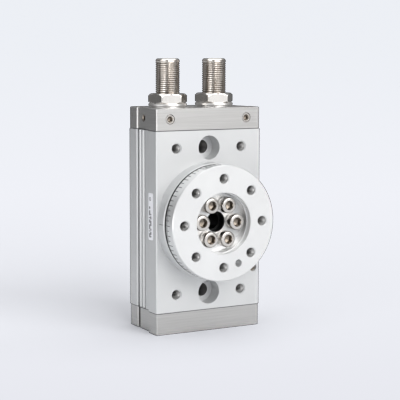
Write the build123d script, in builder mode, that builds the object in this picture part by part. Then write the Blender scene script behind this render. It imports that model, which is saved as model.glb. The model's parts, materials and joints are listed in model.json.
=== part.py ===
"""Rotary pneumatic actuator: two piston racks turn one pinion, which carries a round table.

Millimetres.  The origin is the centre of the table's front face.  The table turns about the
Y axis and faces -Y, X runs across the body, and Z runs up the two cylinders.
"""

from math import acos, cos, pi, radians, sin, sqrt, tan
import os

from build123d import *

os.makedirs("parts", exist_ok=True)

# ---------------------------------------------------------------- driving dimensions
# depths along Y, counted back from the table's front face
TABLE_T = 7.5
BOSS_Y = 8.6
FRONT_Y = 15.5
BACK_Y = 50.5
AXIS_Y = 35.0

# body and end caps
FRONT_HALF_W = 31.0
REAR_HALF_W = 29.2
STEP_Y = FRONT_Y + 9.3
BODY_HALF_H = 47.0
CAP_T = 11.5
TOP_Z = BODY_HALF_H + CAP_T
CAP_INSET = 0.3
EDGE = 0.4
REAR_EDGE = 1.2

# table, boss and the holes in them
TABLE_R = 30.0
BOSS_R = 30.5
SPIGOT_R = 16.0
SPIGOT_DEPTH = 3.5
WELL_R = 15.5
WELL_Y = 8.6
TABLE_HOLE_PCR = 23.0
TABLE_HOLE_R = 2.5
DOWEL_HOLE_R = 2.0
DOWEL_ANGLE = -67.5
TABLE_SCREW_PCR = 10.15
TABLE_SCREW_TURN = -1.8

# mounting holes in the body's front
MOUNT_Z = 38.0
MOUNT_R = 3.5
COUNTERBORE_R = 6.3
COUNTERBORE_DEPTH = 8.0
TAPPED_X = 19.3
TAPPED_R = 2.5
TAPPED_DEPTH = 9.0
PORT_R = 2.1
PORT_X = 27.2
PORT_Z = 27.2
PORT_DEPTH = 4.0
SIDE_PORT_Y = 22.0
CHANNEL_X = 24.0
CHANNEL_R = 1.25

# cylinders, pistons and racks
BORE_X = 14.0
BORE_R = 9.0
PISTON_R = 8.9
PISTON_HALF = 31.0
RACK_HALF = 19.0
TEETH = 15
MODULE = 1.0
PITCH_R = TEETH * MODULE / 2
PRESSURE = radians(20)
ADDENDUM = 0.85
RACK_ROOT = PITCH_R + 1.2
BACKLASH = 0.08

# pinion and bearings: (bore radius, outer radius, front y, back y, ball radius, ball count)
CAVITY_R = 9.0
HOLLOW_R = 4.5
FRONT_BEARING = (15.0, 21.0, 11.5, 18.5, 1.75, 19)
REAR_BEARING = (7.5, 10.5, 45.0, 49.0, 1.0, 13)
FLANGE_Y = 13.6
RETAINER_PCR = 24.0
RETAINER_T = 2.4
PINION_END_Y = 49.8

# shock absorbers, standing in the top cap on the cylinders' axes
THREAD_R = 6.2
NOSE_Z = 50.0
ABSORBER_TOP_Z = 83.8
WASHER_R = 10.0
WASHER_T = 2.0
NUT_FLATS = 18.0
NUT_T = 5.0
NUT_TURN = 12.8
ROD_R = 2.0
TIP_Z = 43.7
HEAD_Z = 62.0
TUBE_R = 4.7
TUBE_TOP_Z = 80.0

# cap screws and cross drillings
CAP_SCREWS = [(9.5, 20.5), (-9.5, 20.5), (24.5, 46.0), (-24.5, 46.0)]
PLUG_X = 22.7
PLUG_Z = 53.1
PLUG_R = 2.6
RECESS_X = 28.0
RECESS_Y0 = 31.5
RECESS_Y1 = 41.0
SEAL_R = 10.4
SEAL_SECTION = 0.44

# sensor grooves in the sides of the body
SLOT_Y = 39.4
SLOT_W = 3.0
SLOT_DEPTH = 4.3
SLOT_SLANT = 0.5
# side grooves: front wall, rear wall, depth and width of the slanted rear edge
GROOVES = (
    (31.2, 33.6, 1.5, 0.7),
    (34.8, 37.1, 1.5, 0.7),
    (SLOT_Y - SLOT_W / 2, SLOT_Y + SLOT_W / 2, SLOT_DEPTH, SLOT_SLANT),
)


# ---------------------------------------------------------------- small helpers
def at_y(y):
    """Plane across the table's axis: its x is X, its y is Z, and it faces -Y."""
    return Plane.XZ.offset(-y)


def cylinder_y(x, z, y0, y1, radius, mode=Mode.ADD):
    """Round bar or hole along Y, from y0 back to y1."""
    with BuildSketch(at_y(y1)) as profile:
        with Locations((x, z)):
            Circle(radius)
    extrude(profile.sketch, amount=y1 - y0, mode=mode)


def cylinder_z(x, y, z0, z1, radius, mode=Mode.ADD):
    """Round bar or hole along Z, from z0 up to z1."""
    with BuildSketch(Plane.XY.offset(z0)) as profile:
        with Locations((x, y)):
            Circle(radius)
    extrude(profile.sketch, amount=z1 - z0, mode=mode)


def cylinder_x(y, z, x0, x1, radius, mode=Mode.ADD):
    """Round bar or hole along X, from x0 out to x1."""
    with BuildSketch(Plane.YZ.offset(x0)) as profile:
        with Locations((y, z)):
            Circle(radius)
    extrude(profile.sketch, amount=x1 - x0, mode=mode)


def ring_z(x, y, z0, z1, r_in, r_out, mode=Mode.ADD):
    """Plain ring around a vertical axis."""
    with BuildSketch(Plane.XY.offset(z0)) as profile:
        with Locations((x, y)):
            Circle(r_out)
            Circle(r_in, mode=Mode.SUBTRACT)
    extrude(profile.sketch, amount=z1 - z0, mode=mode)


def block(x0, x1, y0, y1, z0, z1, mode=Mode.ADD):
    """Box between two corners."""
    with BuildSketch(Plane.XY.offset(z0)) as profile:
        with Locations(((x0 + x1) / 2, (y0 + y1) / 2)):
            Rectangle(x1 - x0, y1 - y0)
    extrude(profile.sketch, amount=z1 - z0, mode=mode)


def band(r_in, r_out, y0, y1, mode=Mode.ADD):
    """Rectangle of a section that is turned about the Y axis."""
    with Locations(((r_in + r_out) / 2, (y0 + y1) / 2)):
        Rectangle(r_out - r_in, y1 - y0, mode=mode)


def socket_screw(seat, head_r, head_h, shank_r, length, key):
    """Socket-head screw whose head stands on the seat plane and whose shank goes through it."""
    with BuildSketch(seat) as profile:
        Circle(head_r)
    extrude(profile.sketch, amount=head_h)
    with BuildSketch(seat) as profile:
        Circle(shank_r)
    extrude(profile.sketch, amount=-length)
    with BuildSketch(seat.offset(head_h)) as profile:
        RegularPolygon(key / 2, 6, major_radius=False)
    extrude(profile.sketch, amount=-0.6 * head_h, mode=Mode.SUBTRACT)


def grub_screw(face, radius, length, key):
    """Headless screw with a hexagon socket, sunk from the face plane."""
    with BuildSketch(face) as profile:
        Circle(radius)
    extrude(profile.sketch, amount=-length)
    with BuildSketch(face) as profile:
        RegularPolygon(key / 2, 6, major_radius=False)
    extrude(profile.sketch, amount=-0.6 * length, mode=Mode.SUBTRACT)


def finish(piece, name):
    """Label one finished piece and write it as its own node."""
    piece.part.label = name
    export_step(piece.part, f"parts/{name}.step")


SIDES = {"left": -1, "right": 1}


# ---------------------------------------------------------------- body
def half_outline(inset):
    """Right half of the body's plan: wide front, step, sensor grooves and narrow rear."""
    front, rear = FRONT_HALF_W - inset, REAR_HALF_W - inset
    y0, y1 = FRONT_Y + inset, BACK_Y - inset
    with BuildLine() as outline:
        Polyline(
            (0, y0), (front - EDGE, y0), (front, y0 + EDGE),
            (front, STEP_Y - EDGE), (front - EDGE, STEP_Y), (rear, STEP_Y),
            (rear, y1 - REAR_EDGE), (rear - REAR_EDGE, y1), (0, y1), (0, y0),
        )
    make_face(outline.edges())


with BuildPart() as body:
    with BuildSketch(Plane.XY.offset(-BODY_HALF_H)):
        half_outline(0)
        # two shallow grooves beside the deep sensor slot; the rear edge of all three is slanted
        side = REAR_HALF_W
        for start, wall, depth, slant in GROOVES:
            with BuildLine():
                Polyline(
                    (side, start), (side - depth, start), (side - depth, wall),
                    (side - slant, wall), (side, wall + slant), (side, start),
                )
            make_face(mode=Mode.SUBTRACT)
        mirror(about=Plane.YZ)
    extrude(amount=2 * BODY_HALF_H)
    # round boss that houses the front bearing
    cylinder_y(0, 0, BOSS_Y, FRONT_Y + 1, BOSS_R)
    chamfer(body.faces().sort_by(Axis.Y)[0].edges().filter_by(GeomType.CIRCLE), 0.5)
    # retainer recess, bearing seats, pinion cavity and rear bearing seat, all on the table's axis
    cylinder_y(0, 0, BOSS_Y, BOSS_Y + 1.6, BOSS_R - 1.1, Mode.SUBTRACT)
    cylinder_y(0, 0, BOSS_Y, FRONT_BEARING[2], 27.2, Mode.SUBTRACT)
    cylinder_y(0, 0, FRONT_BEARING[2], FRONT_BEARING[3], FRONT_BEARING[1], Mode.SUBTRACT)
    cylinder_y(0, 0, FRONT_BEARING[3], 22.0, 18.0, Mode.SUBTRACT)
    cylinder_y(0, 0, 22.0, REAR_BEARING[2], CAVITY_R, Mode.SUBTRACT)
    cylinder_y(0, 0, REAR_BEARING[2], BACK_Y, REAR_BEARING[1], Mode.SUBTRACT)
    cylinder_y(0, 0, 49.05, 50.0, REAR_BEARING[1] + 0.7, Mode.SUBTRACT)
    for angle in range(0, 360, 60):
        x, z = RETAINER_PCR * cos(radians(angle)), RETAINER_PCR * sin(radians(angle))
        cylinder_y(x, z, FRONT_BEARING[2], 16.5, 1.25, Mode.SUBTRACT)
    # cylinders, with a seal groove round each end
    for side in SIDES.values():
        cylinder_z(side * BORE_X, AXIS_Y, -BODY_HALF_H, BODY_HALF_H, BORE_R, Mode.SUBTRACT)
        for end in (-BODY_HALF_H, BODY_HALF_H - 0.9):
            ring_z(side * BORE_X, AXIS_Y, end, end + 0.9, SEAL_R - 0.7, SEAL_R + 0.7, Mode.SUBTRACT)
        for x, y in CAP_SCREWS:
            if x * side > 0:
                cylinder_z(x, y, BODY_HALF_H - 9, BODY_HALF_H, 2.0, Mode.SUBTRACT)
                cylinder_z(x, y, -BODY_HALF_H, 9 - BODY_HALF_H, 2.0, Mode.SUBTRACT)
    for level in (MOUNT_Z, -MOUNT_Z):
        cylinder_y(0, level, FRONT_Y, BACK_Y, MOUNT_R, Mode.SUBTRACT)
        cylinder_y(0, level, FRONT_Y, FRONT_Y + COUNTERBORE_DEPTH, COUNTERBORE_R, Mode.SUBTRACT)
        for x in (-TAPPED_X, TAPPED_X):
            cylinder_y(x, level, FRONT_Y, FRONT_Y + TAPPED_DEPTH, TAPPED_R, Mode.SUBTRACT)
            cylinder_y(x, level, FRONT_Y, FRONT_Y + 0.5, TAPPED_R + 0.5, Mode.SUBTRACT)
    # air ports on the right side, one on the front, and the drillings that lead to the caps
    cylinder_y(PORT_X, -PORT_Z, FRONT_Y, FRONT_Y + PORT_DEPTH, PORT_R, Mode.SUBTRACT)
    cylinder_y(PORT_X, -PORT_Z, FRONT_Y, SIDE_PORT_Y, 1.0, Mode.SUBTRACT)
    for level, end in ((PORT_Z, BODY_HALF_H), (-PORT_Z, -BODY_HALF_H)):
        cylinder_x(SIDE_PORT_Y, level, FRONT_HALF_W - PORT_DEPTH, FRONT_HALF_W, PORT_R, Mode.SUBTRACT)
        cylinder_x(SIDE_PORT_Y, level, CHANNEL_X, FRONT_HALF_W, CHANNEL_R, Mode.SUBTRACT)
        cylinder_z(CHANNEL_X, SIDE_PORT_Y, min(level, end), max(level, end), CHANNEL_R, Mode.SUBTRACT)
    # locating holes in the back: one round, one slotted
    cylinder_y(0, -20, BACK_Y - 4, BACK_Y, DOWEL_HOLE_R, Mode.SUBTRACT)
    with BuildSketch(at_y(BACK_Y)):
        with Locations((0, 20)):
            SlotCenterToCenter(2, 2 * DOWEL_HOLE_R, rotation=90)
    extrude(amount=4, mode=Mode.SUBTRACT)
finish(body, "body")


# ---------------------------------------------------------------- end caps
def cap_blank(z0, z1):
    """Outline of an end cap, a little smaller than the body all round."""
    with BuildSketch(Plane.XY.offset(z0)) as plan:
        half_outline(CAP_INSET)
        mirror(about=Plane.YZ)
    extrude(plan.sketch, amount=z1 - z0)


def cap_holes(inner, outer):
    """Screw holes, end recesses and air drillings of one cap, from its inner face out."""
    up = 1 if outer > inner else -1

    def span(start, stop):
        return min(start, stop), max(start, stop)

    for x, y in CAP_SCREWS:
        cylinder_z(x, y, *span(inner, outer), 2.2, Mode.SUBTRACT)
        cylinder_z(x, y, *span(outer - up * 4.4, outer), 3.75, Mode.SUBTRACT)
    for side in SIDES.values():
        cylinder_z(side * BORE_X, AXIS_Y, *span(inner, inner + up * 1.5), 8.0, Mode.SUBTRACT)
        cylinder_y(side * PLUG_X, up * PLUG_Z, FRONT_Y + 4, 34.5, 1.5, Mode.SUBTRACT)
        cylinder_z(side * 21.6, 32.4, *span(inner, up * (PLUG_Z + 0.5)), 1.2, Mode.SUBTRACT)
    cylinder_z(CHANNEL_X, SIDE_PORT_Y, *span(inner, up * (PLUG_Z + 0.5)), CHANNEL_R, Mode.SUBTRACT)


def slanted_edge(side, y, z0, z1):
    """Slant the rear edge of a groove in a cap's side face."""
    face = side * (REAR_HALF_W - CAP_INSET)
    inner = face - side * SLOT_SLANT
    with BuildSketch(Plane.XY.offset(z0)) as profile:
        with BuildLine() as outline:
            Polyline((face, y - 0.4), (inner, y - 0.4), (inner, y), (face, y + SLOT_SLANT), (face, y - 0.4))
        make_face(outline.edges())
    extrude(profile.sketch, amount=z1 - z0, mode=Mode.SUBTRACT)


with BuildPart() as top_cap:
    cap_blank(BODY_HALF_H, TOP_Z)
    chamfer(top_cap.faces().sort_by(Axis.Z)[-1].edges().filter_by(Plane.XY), 0.25)
    cap_holes(BODY_HALF_H, TOP_Z)
    for side in SIDES.values():
        cylinder_z(side * BORE_X, AXIS_Y, BODY_HALF_H, TOP_Z, THREAD_R + 0.02, Mode.SUBTRACT)
        # wide recess in each side, with a drilling that a grub screw closes
        recess = sorted((side * RECESS_X, side * REAR_HALF_W))
        block(*recess, RECESS_Y0, RECESS_Y1, BODY_HALF_H, TOP_Z, Mode.SUBTRACT)
        slanted_edge(side, RECESS_Y1, BODY_HALF_H, TOP_Z)
        cylinder_y(side * PLUG_X, PLUG_Z, FRONT_Y, FRONT_Y + 4, PLUG_R, Mode.SUBTRACT)
        cylinder_x(AXIS_Y + 0.5, PLUG_Z, *sorted((side * 22.0, side * RECESS_X)), 2.0, Mode.SUBTRACT)
finish(top_cap, "top_cap")

with BuildPart() as bottom_cap:
    cap_blank(-TOP_Z, -BODY_HALF_H)
    chamfer(bottom_cap.faces().sort_by(Axis.Z)[0].edges().filter_by(Plane.XY), 0.25)
    cap_holes(-BODY_HALF_H, -TOP_Z)
    for side in SIDES.values():
        slot = sorted((side * (REAR_HALF_W - SLOT_DEPTH), side * REAR_HALF_W))
        block(*slot, SLOT_Y - SLOT_W / 2, SLOT_Y + SLOT_W / 2, -TOP_Z, -BODY_HALF_H, Mode.SUBTRACT)
        slanted_edge(side, SLOT_Y + SLOT_W / 2, -TOP_Z, -BODY_HALF_H)
finish(bottom_cap, "bottom_cap")

for name, sign in (("top_cap", 1), ("bottom_cap", -1)):
    with BuildPart() as screws:
        for x, y in CAP_SCREWS:
            seat = Plane(origin=(x, y, sign * (TOP_Z - 4.4)), z_dir=(0, 0, sign))
            socket_screw(seat, 3.5, 4.0, 1.98, 14.5, 3.0)
    finish(screws, f"{name}_screws")
    with BuildPart() as seals:
        for side in SIDES.values():
            with Locations((side * BORE_X, AXIS_Y, sign * (BODY_HALF_H - SEAL_SECTION))):
                Torus(SEAL_R, SEAL_SECTION)
    finish(seals, f"{name}_o_rings")

with BuildPart() as front_plugs:
    for side in SIDES.values():
        face = Plane(origin=(side * PLUG_X, FRONT_Y + CAP_INSET + 0.2, PLUG_Z), z_dir=(0, -1, 0))
        grub_screw(face, PLUG_R - 0.02, 3.4, 2.0)
finish(front_plugs, "cap_front_plugs")

with BuildPart() as side_plugs:
    for side in SIDES.values():
        seat = Plane(origin=(side * (RECESS_X - 0.2), AXIS_Y + 0.5, PLUG_Z), z_dir=(side, 0, 0))
        grub_screw(seat, 1.98, 3.0, 1.5)
finish(side_plugs, "cap_side_plugs")

with BuildPart() as port_plug:
    grub_screw(Plane(origin=(PORT_X, FRONT_Y + 0.8, -PORT_Z), z_dir=(0, -1, 0)), PORT_R - 0.02, 3.0, 2.0)
finish(port_plug, "port_plug")

with BuildPart() as label:
    block(-FRONT_HALF_W - 0.12, -FRONT_HALF_W, 19.2, 24.2, -9.2, 15.2)
finish(label, "side_label")


# ---------------------------------------------------------------- table, pinion and their fasteners
def table_screw_places():
    """Angles of the six screws that hold the table to the pinion."""
    for k in range(6):
        angle = radians(TABLE_SCREW_TURN + 60 * k)
        yield TABLE_SCREW_PCR * cos(angle), TABLE_SCREW_PCR * sin(angle)


with BuildPart() as turntable:
    # disc, bearing shoulder and hub, turned as one section
    with BuildSketch():
        band(0, TABLE_R, 0, TABLE_T)
        band(0, 18.0, TABLE_T, 11.0)
        band(0, 16.5, 11.0, FRONT_BEARING[2])
        band(0, FRONT_BEARING[0] - 0.02, FRONT_BEARING[2], FRONT_BEARING[3] - 0.1)
        band(0, SPIGOT_R, 0, SPIGOT_DEPTH, Mode.SUBTRACT)
        band(0, WELL_R, SPIGOT_DEPTH, WELL_Y, Mode.SUBTRACT)
        band(0, 5.45, WELL_Y, FLANGE_Y, Mode.SUBTRACT)
        band(0, 13.5, FLANGE_Y, FRONT_BEARING[3], Mode.SUBTRACT)
    revolve(axis=Axis.Y)
    chamfer(turntable.edges().filter_by(GeomType.CIRCLE).group_by(SortBy.RADIUS)[-1], EDGE)
    for k in range(8):
        x, z = TABLE_HOLE_PCR * cos(k * pi / 4), TABLE_HOLE_PCR * sin(k * pi / 4)
        cylinder_y(x, z, 0, TABLE_T, TABLE_HOLE_R, Mode.SUBTRACT)
        cylinder_y(x, z, 0, 0.4, TABLE_HOLE_R + 0.4, Mode.SUBTRACT)
    dowel = radians(DOWEL_ANGLE)
    cylinder_y(TABLE_HOLE_PCR * cos(dowel), TABLE_HOLE_PCR * sin(dowel), 0, 6, DOWEL_HOLE_R, Mode.SUBTRACT)
    for x, z in table_screw_places():
        cylinder_y(x, z, WELL_Y, FLANGE_Y, 2.7, Mode.SUBTRACT)
    cylinder_y(7.4 * cos(pi / 6), 7.4 * sin(pi / 6), 10.0, FLANGE_Y, 1.25, Mode.SUBTRACT)
finish(turntable, "turntable")

with BuildPart() as table_screws:
    for x, z in table_screw_places():
        socket_screw(Plane(origin=(x, WELL_Y, z), z_dir=(0, -1, 0)), 4.2, 5.0, 2.48, 12.0, 4.0)
finish(table_screws, "table_screws")

with BuildPart() as dowel_pin:
    cylinder_y(7.4 * cos(pi / 6), 7.4 * sin(pi / 6), 10.2, 17.4, 1.24)
finish(dowel_pin, "table_dowel_pin")


def involute(angle):
    """Involute function, tan(a) - a."""
    return tan(angle) - angle


BASE_R = PITCH_R * cos(PRESSURE)
TIP_R = PITCH_R + ADDENDUM
ROOT_R = PITCH_R - 1.15


def flank(radius):
    """Point of a tooth's upper flank, for a tooth that is centred on the X axis."""
    half = (pi * MODULE / 2 - BACKLASH) / (2 * PITCH_R) + involute(PRESSURE)
    half -= involute(acos(min(1.0, BASE_R / radius)))
    return radius * cos(half), radius * sin(half)


with BuildSketch() as tooth:
    upper = [flank(BASE_R + (TIP_R - BASE_R) * k / 4) for k in range(5)]
    lower = [(x, -y) for x, y in reversed(upper)]
    # below the base circle the flanks run straight down into the root
    scale = (ROOT_R - 0.3) / BASE_R
    foot_high = (upper[0][0] * scale, upper[0][1] * scale)
    foot_low = (foot_high[0], -foot_high[1])
    with BuildLine():
        Line(foot_high, upper[0])
        Spline(upper)
        ThreePointArc(upper[-1], (TIP_R, 0), lower[0])
        Spline(lower)
        Line(lower[-1], foot_low)
        Line(foot_low, foot_high)
    make_face()

with BuildPart() as pinion:
    # flange spigot, clamping lip, neck, shoulder and rear journal
    with BuildSketch():
        band(0, 13.48, FLANGE_Y, FRONT_BEARING[3])
        band(0, 16.5, FRONT_BEARING[3], 21.0)
        band(0, ROOT_R, 21.0, 45.0)
        band(0, 8.0, 21.0, 26.0)
        band(0, 8.2, 43.4, REAR_BEARING[2])
        band(0, REAR_BEARING[0] - 0.02, REAR_BEARING[2], PINION_END_Y)
        band(0, HOLLOW_R, FLANGE_Y, PINION_END_Y, Mode.SUBTRACT)
    revolve(axis=Axis.Y)
    # straight teeth between the neck and the shoulder
    with BuildSketch(at_y(43.4)):
        with PolarLocations(0, TEETH):
            add(tooth.sketch)
    extrude(amount=43.4 - 26.0)
    for x, z in table_screw_places():
        cylinder_y(x, z, FLANGE_Y, 21.0, 2.5, Mode.SUBTRACT)
    cylinder_y(7.4 * cos(pi / 6), 7.4 * sin(pi / 6), FLANGE_Y, 17.6, 1.25, Mode.SUBTRACT)
finish(pinion, "pinion_shaft")


# ---------------------------------------------------------------- bearings and what holds them
def bearing(name, bore_r, outer_r, y0, y1, ball_r, count):
    """Deep-groove bearing as inner ring, outer ring, balls and cage."""
    pitch, middle = (bore_r + outer_r) / 2, (y0 + y1) / 2
    gap = 0.52 * ball_r
    groove = ball_r + 0.04
    with BuildPart() as inner_ring:
        with BuildSketch():
            band(bore_r, pitch - gap, y0, y1)
            with Locations((pitch, middle)):
                Circle(groove, mode=Mode.SUBTRACT)
        revolve(axis=Axis.Y)
    finish(inner_ring, f"{name}_inner_ring")
    with BuildPart() as outer_ring:
        with BuildSketch():
            band(pitch + gap, outer_r - 0.01, y0, y1)
            with Locations((pitch, middle)):
                Circle(groove, mode=Mode.SUBTRACT)
        revolve(axis=Axis.Y)
    finish(outer_ring, f"{name}_outer_ring")
    with BuildPart() as balls:
        with Locations(at_y(middle)):
            with PolarLocations(pitch, count):
                Sphere(ball_r)
    finish(balls, f"{name}_balls")
    with BuildPart() as cage:
        with BuildSketch():
            band(pitch - 0.3 * ball_r, pitch + 0.3 * ball_r, middle - 1.3 * ball_r, middle + 1.3 * ball_r)
        revolve(axis=Axis.Y)
        for k in range(count):
            angle = 2 * pi * k / count
            with BuildSketch(Plane(origin=(0, middle, 0), z_dir=(cos(angle), 0, sin(angle)))):
                Circle(ball_r + 0.05)
            extrude(amount=outer_r, mode=Mode.SUBTRACT)
    finish(cage, f"{name}_cage")


bearing("front_bearing", *FRONT_BEARING)
bearing("rear_bearing", *REAR_BEARING)

with BuildPart() as retainer:
    # flat ring that keeps the front bearing's outer ring in the boss
    with BuildSketch():
        band(19.2, 27.1, FRONT_BEARING[2] - RETAINER_T, FRONT_BEARING[2])
    revolve(axis=Axis.Y)
    for k in range(6):
        x, z = RETAINER_PCR * cos(k * pi / 3), RETAINER_PCR * sin(k * pi / 3)
        cylinder_y(x, z, FRONT_BEARING[2] - RETAINER_T, FRONT_BEARING[2], 1.6, Mode.SUBTRACT)
        cylinder_y(x, z, FRONT_BEARING[2] - RETAINER_T, FRONT_BEARING[2] - 0.8, 2.7, Mode.SUBTRACT)
finish(retainer, "bearing_retainer")

with BuildPart() as retainer_screws:
    for k in range(6):
        x, z = RETAINER_PCR * cos(k * pi / 3), RETAINER_PCR * sin(k * pi / 3)
        seat = Plane(origin=(x, FRONT_BEARING[2] - 0.8, z), z_dir=(0, -1, 0))
        socket_screw(seat, 2.6, 1.5, 1.24, 5.4, 1.5)
finish(retainer_screws, "retainer_screws")

with BuildPart() as circlip:
    # open ring with an eye at each end, behind the rear bearing
    with BuildSketch(at_y(49.95)):
        Circle(REAR_BEARING[1] + 0.65)
        Circle(REAR_BEARING[1] - 1.1, mode=Mode.SUBTRACT)
        with PolarLocations(REAR_BEARING[1] - 0.9, 2, start_angle=75, angular_range=30, endpoint=True):
            Circle(1.25)
        with PolarLocations(REAR_BEARING[1] - 0.9, 2, start_angle=75, angular_range=30, endpoint=True):
            Circle(0.55, mode=Mode.SUBTRACT)
        with Locations((0, REAR_BEARING[1])):
            Rectangle(2.6, 5.0, mode=Mode.SUBTRACT)
    extrude(amount=0.9)
finish(circlip, "rear_retaining_ring")


# ---------------------------------------------------------------- pistons, racks and absorbers
def piston(side_name, side):
    """Piston with a head at each end and rack teeth along the middle, facing the pinion."""
    x = side * BORE_X
    grooves = [(s, s * z) for s in (-1, 1) for z in (21.0, 26.5)]
    with BuildPart() as rack:
        cylinder_z(x, AXIS_Y, -PISTON_HALF, PISTON_HALF, PISTON_R)
        tip = PITCH_R - ADDENDUM
        flat = (0, tip) if side > 0 else (-tip, 0)
        block(*flat, 20, 50, -RACK_HALF, RACK_HALF, Mode.SUBTRACT)
        # tooth gaps: one faces the tooth or the gap that the pinion shows to this side
        half_gap = pi * MODULE / 4 + BACKLASH / 4
        shift = 0 if side > 0 else pi * MODULE / 2
        top = half_gap + (PITCH_R - tip + 0.4) * tan(PRESSURE)
        bottom = half_gap - (RACK_ROOT - PITCH_R) * tan(PRESSURE)
        for k in range(-6, 6):
            middle = k * pi * MODULE + shift
            if abs(middle) > RACK_HALF - 1.4:
                continue
            with BuildSketch(at_y(47)):
                with BuildLine():
                    Polyline(
                        (side * (tip - 0.4), middle - top), (side * RACK_ROOT, middle - bottom),
                        (side * RACK_ROOT, middle + bottom), (side * (tip - 0.4), middle + top),
                        (side * (tip - 0.4), middle - top),
                    )
                make_face()
            extrude(amount=24, mode=Mode.SUBTRACT)
        for s, z in grooves:
            ring_z(x, AXIS_Y, z - 0.9, z + 0.9, PISTON_R - 1.6, PISTON_R + 1, Mode.SUBTRACT)
        # pocket for the magnet in the upper head
        ring_z(x, AXIS_Y, 28.4, 30.0, PISTON_R - 1.6, PISTON_R + 1, Mode.SUBTRACT)
    finish(rack, f"{side_name}_piston_rack")
    with BuildPart() as seals:
        for s in (-1, 1):
            ring_z(x, AXIS_Y, s * 26.5 - 0.85, s * 26.5 + 0.85, PISTON_R - 1.6, BORE_R - 0.02)
    finish(seals, f"{side_name}_piston_seals")
    with BuildPart() as wear_rings:
        for s in (-1, 1):
            ring_z(x, AXIS_Y, s * 21.0 - 0.85, s * 21.0 + 0.85, PISTON_R - 1.6, BORE_R - 0.03)
    finish(wear_rings, f"{side_name}_wear_rings")
    with BuildPart() as magnet:
        ring_z(x, AXIS_Y, 28.45, 29.95, PISTON_R - 1.6, PISTON_R - 0.1)
    finish(magnet, f"{side_name}_piston_magnet")


def absorber(side_name, side):
    """Threaded shock absorber with its rod, spring, lock nut and sealing washer."""
    x = side * BORE_X
    with BuildPart() as tube:
        # external thread as rings, one a millimetre
        with BuildSketch(Plane(origin=(x, AXIS_Y, 0), x_dir=(1, 0, 0), z_dir=(0, -1, 0))):
            with BuildLine():
                ridge = [(THREAD_R - 0.5 * (k % 2), NOSE_Z + 1.5 + 0.5 * k) for k in range(62)]
                Polyline(
                    (0, NOSE_Z), (THREAD_R - 0.9, NOSE_Z), *ridge,
                    (THREAD_R, ABSORBER_TOP_Z - 0.8), (THREAD_R - 0.7, ABSORBER_TOP_Z),
                    (0, ABSORBER_TOP_Z), (0, NOSE_Z),
                )
            make_face()
        revolve(axis=Axis(origin=(x, AXIS_Y, 0), direction=(0, 0, 1)))
        cylinder_z(x, AXIS_Y, NOSE_Z, NOSE_Z + 2.5, 3.3, Mode.SUBTRACT)
        cylinder_z(x, AXIS_Y, NOSE_Z + 2.5, 56.0, ROD_R + 0.05, Mode.SUBTRACT)
        cylinder_z(x, AXIS_Y, 56.0, TUBE_TOP_Z, TUBE_R, Mode.SUBTRACT)
        with BuildSketch(Plane.XY.offset(ABSORBER_TOP_Z)):
            with Locations((x, AXIS_Y)):
                RegularPolygon(2.5, 6, major_radius=False)
        extrude(amount=-3.0, mode=Mode.SUBTRACT)
    finish(tube, f"{side_name}_shock_absorber")
    with BuildPart() as plunger:
        cylinder_z(x, AXIS_Y, TIP_Z, TIP_Z + 2.3, 3.0)
        cylinder_z(x, AXIS_Y, TIP_Z + 2.3, HEAD_Z, ROD_R)
        cylinder_z(x, AXIS_Y, HEAD_Z, HEAD_Z + 3.0, TUBE_R - 0.05)
    finish(plunger, f"{side_name}_absorber_plunger")
    with BuildPart() as spring:
        with BuildLine():
            coil = Helix(2.8, 14.0, 3.6, center=(x, AXIS_Y, HEAD_Z + 3.5))
        with BuildSketch(Plane(origin=coil @ 0, z_dir=coil % 0)):
            Circle(0.45)
        sweep()
    finish(spring, f"{side_name}_absorber_spring")
    with BuildPart() as nut:
        z0 = TOP_Z + WASHER_T
        with BuildSketch(Plane.XY.offset(z0)):
            with Locations((x, AXIS_Y)):
                RegularPolygon(NUT_FLATS / 2, 6, major_radius=False, rotation=30 + NUT_TURN)
        extrude(amount=NUT_T)
        # the corners are turned down to a cone at both ends
        corner = NUT_FLATS / sqrt(3)
        with BuildSketch(Plane(origin=(x, AXIS_Y, 0), x_dir=(1, 0, 0), z_dir=(0, -1, 0))):
            with BuildLine():
                Polyline(
                    (0, z0), (NUT_FLATS / 2 - 0.2, z0), (corner, z0 + 0.8), (corner, z0 + NUT_T - 0.8),
                    (NUT_FLATS / 2 - 0.2, z0 + NUT_T), (0, z0 + NUT_T), (0, z0),
                )
            make_face()
        revolve(axis=Axis(origin=(x, AXIS_Y, 0), direction=(0, 0, 1)), mode=Mode.INTERSECT)
        cylinder_z(x, AXIS_Y, z0, z0 + NUT_T, THREAD_R + 0.02, Mode.SUBTRACT)
    finish(nut, f"{side_name}_lock_nut")
    with BuildPart() as washer:
        ring_z(x, AXIS_Y, TOP_Z, TOP_Z + WASHER_T, THREAD_R + 0.15, WASHER_R)
        chamfer(washer.edges().filter_by(GeomType.CIRCLE).group_by(SortBy.RADIUS)[-1], 0.3)
    finish(washer, f"{side_name}_seal_washer")


for side_name, side in SIDES.items():
    piston(side_name, side)
    absorber(side_name, side)
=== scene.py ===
"""Looks of the rotary pneumatic actuator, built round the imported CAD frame.

Metres, in the same frame as the CAD.
"""

import json
from math import cos, hypot, pi, radians, sin, tau

import bmesh
import bpy
from mathutils import Euler, Matrix, Quaternion, Vector


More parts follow.
